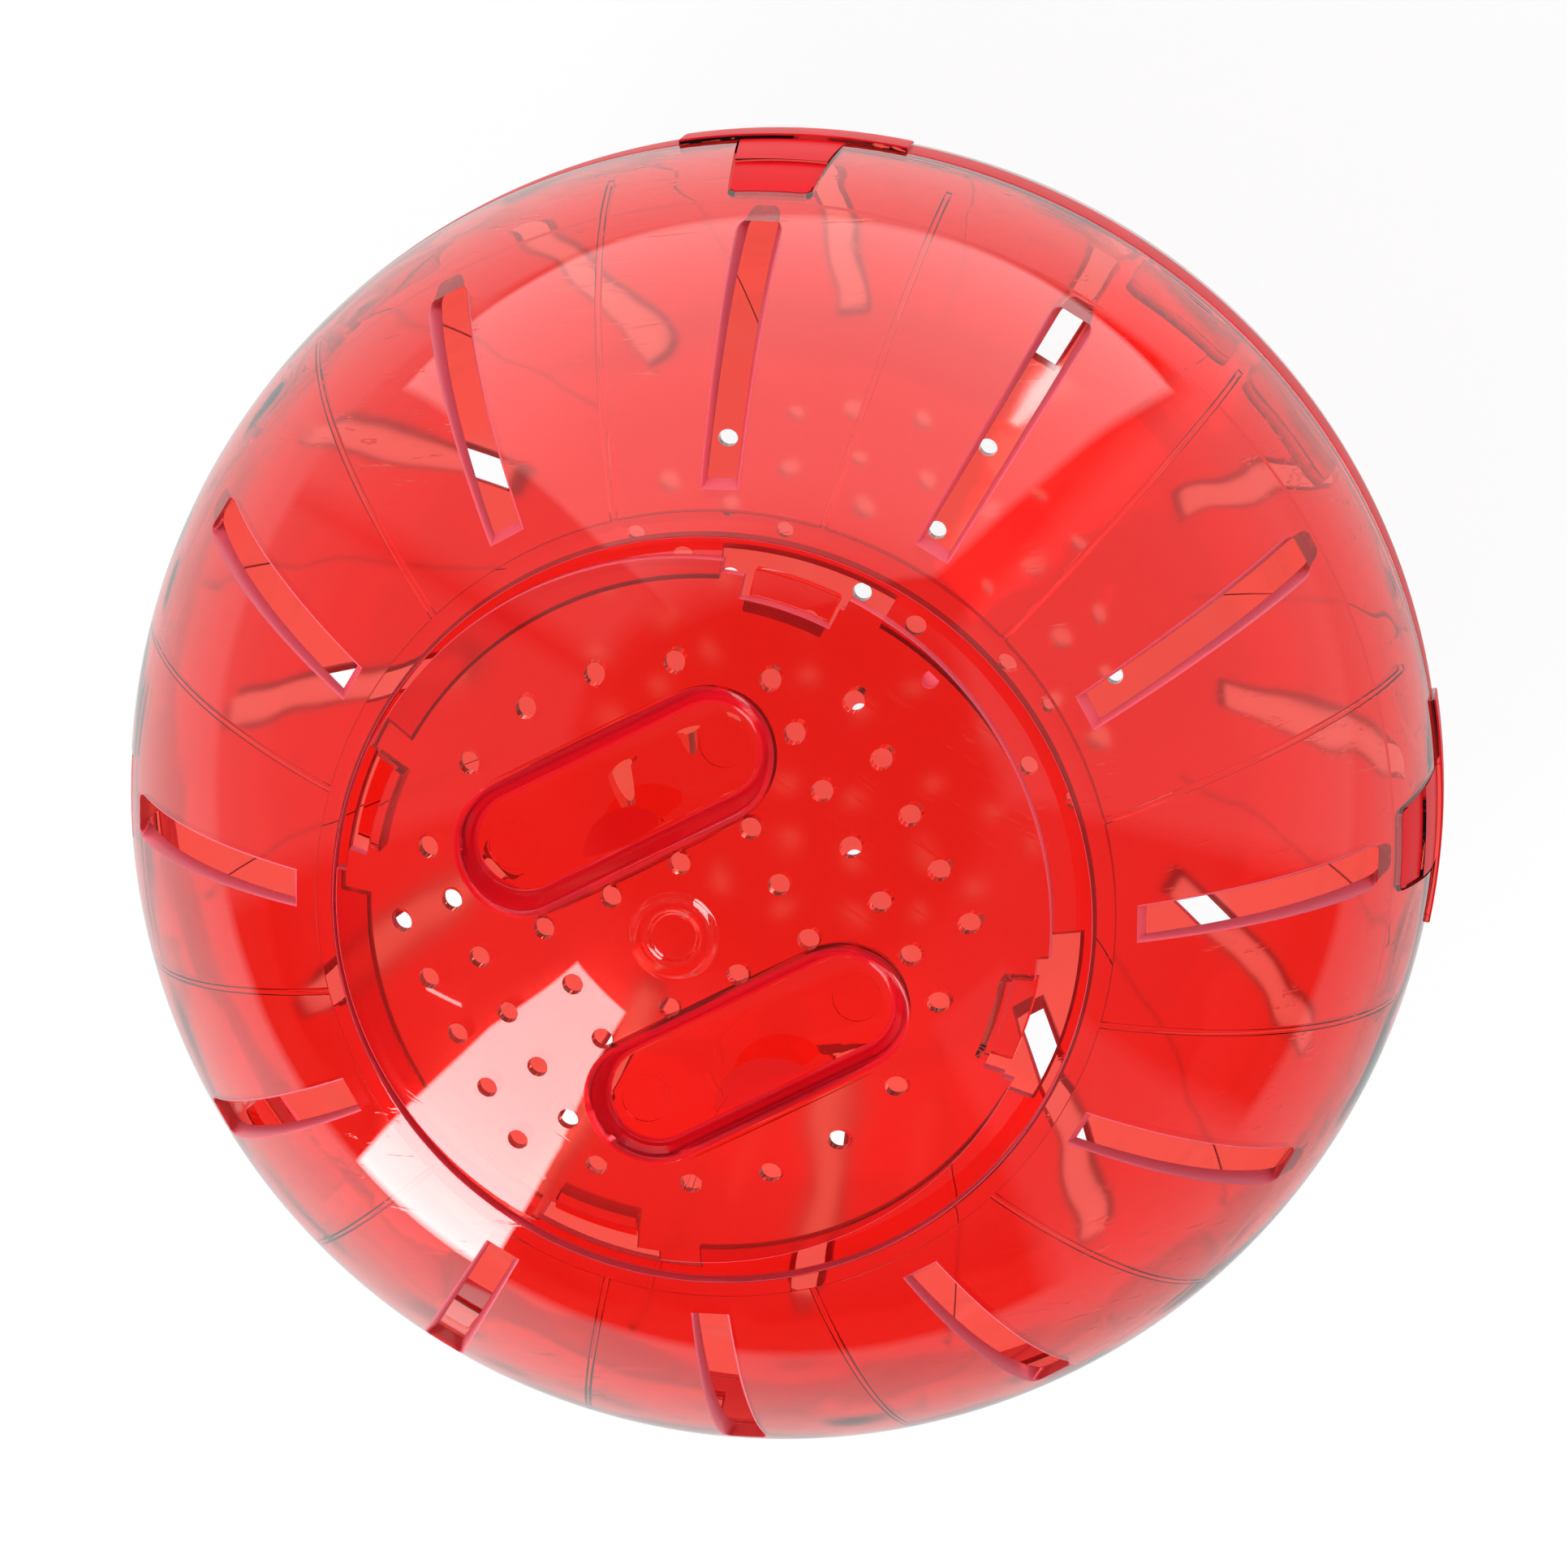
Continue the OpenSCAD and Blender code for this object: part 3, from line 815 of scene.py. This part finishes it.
def clearPlastic(name, look):
    material = bpy.data.materials.new(name)
    material.use_nodes = True
    tree = material.node_tree
    shader = tree.nodes["Principled BSDF"]
    shader.inputs["Transmission Weight"].default_value = 1.0
    shader.inputs["Metallic"].default_value = 0.0
    shader.inputs["IOR"].default_value = look["ior"]
    marks = tree.nodes.new("ShaderNodeGroup")
    marks.node_tree = scratches
    marks.inputs["Scale"].default_value = look["scratchScale"]
    marks.inputs["Heading"].default_value = look["heading"]
    marks.inputs["Amount"].default_value = look["scratchAmount"]
    tint = tree.nodes.new("ShaderNodeGroup")
    tint.node_tree = drift
    tint.inputs["Color"].default_value = (*look["color"], 1)
    tint.inputs["Deep"].default_value = (*look["deep"], 1)
    tint.inputs["Roughness"].default_value = look["roughness"]
    tint.inputs["Inner Haze"].default_value = look["innerHaze"]
    tree.links.new(marks.outputs["Mask"], tint.inputs["Scratches"])
    tree.links.new(tint.outputs["Color"], shader.inputs["Base Color"])
    tree.links.new(tint.outputs["Roughness"], shader.inputs["Roughness"])
    waves = tree.nodes.new("ShaderNodeGroup")
    waves.node_tree = flow
    waves.inputs["Scale"].default_value = look["waveScale"]
    waves.inputs["Outer Depth"].default_value = look["outerWaves"]
    waves.inputs["Inner Depth"].default_value = look["innerWaves"]
    tree.links.new(marks.outputs["Mask"], waves.inputs["Scratches"])
    tree.links.new(waves.outputs["Normal"], shader.inputs["Normal"])
    material.diffuse_color = (*look["color"], 0.6)
    return material


shellLook = {
    "color": (0.970, 0.100, 0.078),
    "deep": (0.955, 0.090, 0.070),
    "ior": 1.5,
    "roughness": 0.0,
    "innerHaze": 0.07,
    "scratchScale": 60,
    "heading": 0.4,
    "scratchAmount": 0.35,
    "waveScale": 90,
    "outerWaves": 0.03 * mm,
    "innerWaves": 0.2 * mm,
}
doorLook = dict(
    shellLook, color=(0.965, 0.092, 0.062), deep=(0.950, 0.082, 0.055),
    heading=1.1, scratchAmount=0.5, innerHaze=0.13,
)
shellPlastic = clearPlastic("clearRedShell", shellLook)
doorPlastic = clearPlastic("clearRedDoor", doorLook)


def paintedLightPlastic(name, look):  # cut edges, the pockets' lips and the seam's band, with colours that paint light: a pinker colour as painted reflection on the cut edges, deep reds as painted shade on the lips and the band
    material = bpy.data.materials.new(name)
    material.use_nodes = True
    tree = material.node_tree
    shader = tree.nodes["Principled BSDF"]
    shader.inputs["Transmission Weight"].default_value = look["clear"]
    shader.inputs["IOR"].default_value = look["ior"]
    tint = tree.nodes.new("ShaderNodeGroup")
    tint.node_tree = drift
    tint.inputs["Color"].default_value = (*look["color"], 1)
    tint.inputs["Deep"].default_value = (*look["deep"], 1)
    tint.inputs["Roughness"].default_value = look["roughness"]
    tree.links.new(tint.outputs["Color"], shader.inputs["Base Color"])
    tree.links.new(tint.outputs["Roughness"], shader.inputs["Roughness"])
    material.diffuse_color = (*look["color"], 1)
    return material


# pinker, less clear colour for the cut walls: painted reflection, standing in for the light that these walls reflect
paintedReflectionEdgeLook = {
    "color": (0.90, 0.130, 0.190), "deep": (0.84, 0.11, 0.16),
    "roughness": 0.35, "clear": 0.35, "ior": 1.3,
}
# deep red on the rear half's outer face near the seam: painted shade
paintedShadeBandLook = {
    "color": (0.92, 0.006, 0.016), "deep": (0.84, 0.004, 0.012),
    "roughness": 0.3, "clear": 0.35, "ior": 1.1,
}
# deep crimson on the pockets' lips and the marks' walls: painted shade, while the low roughness lets the lamps give
# the highlights
paintedShadePocketLook = {
    "color": (0.86, 0.012, 0.030), "deep": (0.78, 0.008, 0.022),
    "roughness": 0.1, "clear": 0.6, "ior": 1.3,
}
paintedReflectionEdgePlastic = paintedLightPlastic("cutEdgePaintedReflection", paintedReflectionEdgeLook)
paintedShadeBandPlastic = paintedLightPlastic("seamBandPaintedShade", paintedShadeBandLook)
paintedShadePocketPlastic = paintedLightPlastic("pocketPaintedShade", paintedShadePocketLook)


tests = {  # which faces count as cut edges, seam band or pocket lip, the places of the painted reflection and painted shade
    "wallFacing": 0.9,
    "slotFacing": 0.985,
    "slotHalf": 3.4 * mm,
    "slotNear": 1.2 * deg,
    "slotFar": 4 * deg,
    "openingR": (42 * mm, 53 * mm),
    "rimFrom": 86 * mm,
    "rimPast": 40 * mm,
    "lipFacing": 0.95,
    "lipOff": (-0.8 * mm, 4.2 * mm),
    "markFacing": 0.5,
    "markSlack": 0.2 * mm,
    "pocketFrom": 76 * mm,
    "bandLow": -9 * mm,
    "bandFrom": 88.8 * mm,
    "bandFacing": 0.2,
}
doorBack = doorPlace().inverted()


def markEdges(obj, isEdge, other):  # faces that the test picks get another of the piece's materials
    index = obj.data.materials.find(other.name)
    count = 0
    for poly in obj.data.polygons:
        out = poly.center.normalized()
        if isEdge(poly.center, poly.normal.dot(out), out):
            poly.material_index = index
            count += 1
    print(obj.name, "faces with", other.name, ":", count)


def onSlotWall(place, facing, out):
    rho = math.hypot(place.x, place.y)
    away = math.atan2(place.y, place.x) / (30 * deg)
    offset = rho * math.sin((away - round(away)) * 30 * deg)
    polar = math.acos(abs(out.z))
    within = slot["near"] - tests["slotNear"] < polar < slot["far"] + tests["slotFar"]
    return abs(facing) < tests["slotFacing"] and abs(offset) < tests["slotHalf"] and within


def onOpeningWall(place, facing, out):
    least, most = tests["openingR"]
    return abs(facing) < tests["wallFacing"] and place.z > 0 and least < math.hypot(place.x, place.y) < most


def onRimWall(place, facing, out):
    beyond = place.length > tests["rimFrom"] and math.hypot(place.x, place.y) > tests["rimPast"]
    return abs(facing) < tests["wallFacing"] and beyond


def onPocketWall(place, facing, out):
    spot = doorBack @ place
    x, y = abs(spot.x), abs(abs(spot.y) - pocket["y"])
    off = math.hypot(max(x - pocket["half"], 0), y) - pocket["floorR"]
    least, most = tests["lipOff"]
    lip = abs(facing) < tests["lipFacing"] and least < off < most
    nearMark = math.hypot(x - pocket["markX"], y) < pocket["markR"] + tests["markSlack"]
    mark = abs(facing) < tests["markFacing"] and nearMark
    return place.length > tests["pocketFrom"] and (lip or mark)


def onSeamBand(place, facing, out):
    return place.z > tests["bandLow"] and place.length > tests["bandFrom"] and facing > tests["bandFacing"]


for piece, node, material, slotName in (
    (frontShell, "front_half", shellPlastic, "shell"),
    (rearShell, "rear_half", shellPlastic, "shell"),
    (doorMoulding, "door", doorPlastic, "door"),
):
    piece.data.materials.clear()
    for layer in (material, paintedReflectionEdgePlastic, paintedShadeBandPlastic, paintedShadePocketPlastic):
        piece.data.materials.append(layer)
    if node != "door":
        # the slot walls get the painted reflection colour
        markEdges(piece, onSlotWall, paintedReflectionEdgePlastic)
    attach(piece, node)
    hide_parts(node)
# the opening's walls and the door's rim walls get the painted reflection colour
markEdges(frontShell, onOpeningWall, paintedReflectionEdgePlastic)
markEdges(doorMoulding, onRimWall, paintedReflectionEdgePlastic)
# the pockets' lips and the marks' walls get the painted shade colour
markEdges(doorMoulding, onPocketWall, paintedShadePocketPlastic)
# the rear half's outer face by the seam gets the painted shade colour
markEdges(rearShell, onSeamBand, paintedShadeBandPlastic)
print("materials on")


# light round the ball, by direction: alpha is the angle from the camera, phi goes round the picture from the right
def lookAlong(alpha, phi):
    a, p = alpha * deg, phi * deg
    return fromView(math.sin(a) * math.cos(p), math.sin(a) * math.sin(p), math.cos(a))


def panelGroup():  # 1 inside four straight edges, each given by the direction square to it
    vectors = ["Direction"] + ["Edge %d" % i for i in (1, 2, 3, 4)]
    tree, inputs, outputs = group(
        "lightPanel",
        [(label, "NodeSocketVector", (0, 0, 1)) for label in vectors] + [("Softness", "NodeSocketFloat", 0.02)],
        [("Mask", "NodeSocketFloat")],
    )
    least = None
    for i in (1, 2, 3, 4):
        dot = tree.nodes.new("ShaderNodeVectorMath")
        dot.operation = "DOT_PRODUCT"
        tree.links.new(inputs.outputs["Direction"], dot.inputs[0])
        tree.links.new(inputs.outputs["Edge %d" % i], dot.inputs[1])
        value = dot.outputs["Value"]
        least = value if least is None else mathNode(tree, "MINIMUM", least, value)
    ratio = mathNode(tree, "DIVIDE", least, inputs.outputs["Softness"])
    tree.links.new(mathNode(tree, "ADD", ratio, 0.5, clamp=True), outputs.inputs["Mask"])
    return tree


# panels are (corners, level, softness of the edge), spots (direction, sharpness, level)
room = {
    "tableEdge": (-20.0, -8.7),
    "tableLevel": 0.72,
    "tableSpots": [((90, 150), 1.0, 0.25), ((125, 85), 6.0, 0.40), ((120, 228), 6.0, 0.45)],
    "top": [(111, 134), (112, 45.5), (45, 54), (30, 122)],
    "topSoftness": 0.03,
    "topLevel": [
        (-0.4, 2.7), (0.0, 2.6), (0.26, 2.3), (0.5, 2.15), (0.588, 2.1), (0.766, 1.0), (0.809, 0.6), (0.87, 0.0),
    ],
    "panels": [
        ([(122, 150), (122, 118), (38, 122), (38, 147)], 0.80, 0.12),
        ([(122, 192), (122, 148), (38, 150), (38, 184)], 0.58, 0.10),
        ([(122, 46), (122, -10), (38, -6), (38, 44)], 0.78, 0.10),
        ([(122, -36), (122, -62), (48, -60), (48, -38)], 0.50, 0.08),
        ([(118, 221.4), (118, 238.5), (78.2, 238.3), (68.7, 219.4)], 11.0, 0.010),
        ([(69.5, 219.4), (79, 238.3), (60, 235.9), (47.7, 221)], 11.0, 0.010),
        ([(66, 220), (60, 235.9), (48.7, 235.1), (47.7, 220.7)], 11.0, 0.010),
        ([(75.5, 209.2), (75.9, 209.8), (71.4, 214.4), (71.0, 213.9)], 9.0, 0.004),
    ],
    "middle": 0.28,
    "middleShape": [(-0.3, 0.1), (0.3, 0.8), (0.75, 1.0), (0.88, 0.45), (1.0, 0.5)],
    "diffuse": 0.9,
}
panelTree = panelGroup()


def panelMask(tree, direction, corners, softness):
    node = tree.nodes.new("ShaderNodeGroup")
    node.node_tree = panelTree
    tree.links.new(direction, node.inputs["Direction"])
    spots = [lookAlong(*corner) for corner in corners]
    centre = sum(spots, Vector()).normalized()
    for i in range(4):
        edge = spots[i].cross(spots[(i + 1) % 4]).normalized()
        node.inputs["Edge %d" % (i + 1)].default_value = edge if edge.dot(centre) > 0 else -edge
    node.inputs["Softness"].default_value = softness
    return node.outputs["Mask"]


def rampBetween(tree, value, points):  # a smooth curve through (place, height) points
    node = tree.nodes.new("ShaderNodeFloatCurve")
    curve = node.mapping.curves[0]
    span = points[-1][0] - points[0][0]
    high = max(height for place, height in points)
    for end, (place, height) in zip(curve.points, (points[0], points[-1])):
        end.location = ((place - points[0][0]) / span, height / high)
    for place, height in points[1:-1]:
        curve.points.new((place - points[0][0]) / span, height / high)
    node.mapping.update()
    scaled = tree.nodes.new("ShaderNodeMapRange")
    scaled.inputs["From Min"].default_value = points[0][0]
    scaled.inputs["From Max"].default_value = points[-1][0]
    tree.links.new(value, scaled.inputs["Value"])
    tree.links.new(scaled.outputs[0], node.inputs["Value"])
    return mathNode(tree, "MULTIPLY", node.outputs[0], high)


world = bpy.data.worlds.new("studio")
scene.world = world
world.use_nodes = True
tree = world.node_tree
coord = tree.nodes.new("ShaderNodeTexCoord")
direction = coord.outputs["Generated"]
facing = tree.nodes.new("ShaderNodeVectorMath")
facing.operation = "DOT_PRODUCT"
facing.inputs[1].default_value = viewBack
tree.links.new(direction, facing.inputs[0])
towards = facing.outputs["Value"]
tableMask = mathNode(tree, "MULTIPLY_ADD", towards, *room["tableEdge"], clamp=True)
topLevel = rampBetween(tree, towards, room["topLevel"])
light = mathNode(tree, "MULTIPLY", panelMask(tree, direction, room["top"], room["topSoftness"]), topLevel)
for corners, level, softness in room["panels"]:
    panel = mathNode(tree, "MULTIPLY", panelMask(tree, direction, corners, softness), level)
    light = mathNode(tree, "MAXIMUM", light, panel)
middle = mathNode(tree, "MULTIPLY", rampBetween(tree, towards, room["middleShape"]), room["middle"])
light = mathNode(tree, "MAXIMUM", light, middle)
path = tree.nodes.new("ShaderNodeLightPath")
tableTone = room["tableLevel"]
for spot, power, level in room["tableSpots"]:
    near = tree.nodes.new("ShaderNodeVectorMath")
    near.operation = "DOT_PRODUCT"
    near.inputs[1].default_value = lookAlong(*spot)
    tree.links.new(direction, near.inputs[0])
    bright = near.outputs["Value"]
    if power > 1:
        bright = mathNode(tree, "POWER", mathNode(tree, "MAXIMUM", bright, 0.0), power)
    tableTone = mathNode(tree, "MULTIPLY_ADD", bright, level, tableTone)
tableLight = mathNode(tree, "MAXIMUM", path.outputs["Is Transmission Ray"], tableTone)
tablePart = mathNode(tree, "MULTIPLY", tableMask, tableLight)
roomPart = mathNode(tree, "MULTIPLY", mathNode(tree, "SUBTRACT", 1.0, tableMask), light)
plain = mathNode(tree, "ADD", tablePart, roomPart)
diffuse = mathNode(tree, "MULTIPLY", path.outputs["Is Diffuse Ray"], room["diffuse"])
seen = mathNode(tree, "MAXIMUM", path.outputs["Is Camera Ray"], diffuse)
back = tree.nodes["Background"]
back.inputs["Color"].default_value = (1, 1, 1, 1)
tree.links.new(mathNode(tree, "MAXIMUM", plain, seen), back.inputs["Strength"])
print("light round the ball is set")


# white table under the ball, which is glowing paper with a little shading for the shadow
table = {
    "size": 1.6,
    "color": (0.9, 0.9, 0.9, 1),
    "roughness": 0.8,
    "glowShare": 0.92,
}
bm = bmesh.new()
bmesh.ops.create_grid(bm, x_segments=8, y_segments=8, size=table["size"])
bmesh.ops.translate(bm, verts=bm.verts[:], vec=(0, 0, -outer))
floor = makeObject("floor", bm)
floor.visible_glossy = False
paper = bpy.data.materials.new("whiteTable")
paper.use_nodes = True
tree = paper.node_tree
shader = tree.nodes["Principled BSDF"]
shader.inputs["Base Color"].default_value = table["color"]
shader.inputs["Roughness"].default_value = table["roughness"]
glow = tree.nodes.new("ShaderNodeEmission")
glow.inputs["Strength"].default_value = 1.0
blend = tree.nodes.new("ShaderNodeMixShader")
blend.inputs["Fac"].default_value = table["glowShare"]
tree.links.new(shader.outputs[0], blend.inputs[1])
tree.links.new(glow.outputs[0], blend.inputs[2])
tree.links.new(blend.outputs[0], tree.nodes["Material Output"].inputs["Surface"])
floor.data.materials.append(paper)


scene.view_settings.view_transform = "Standard"
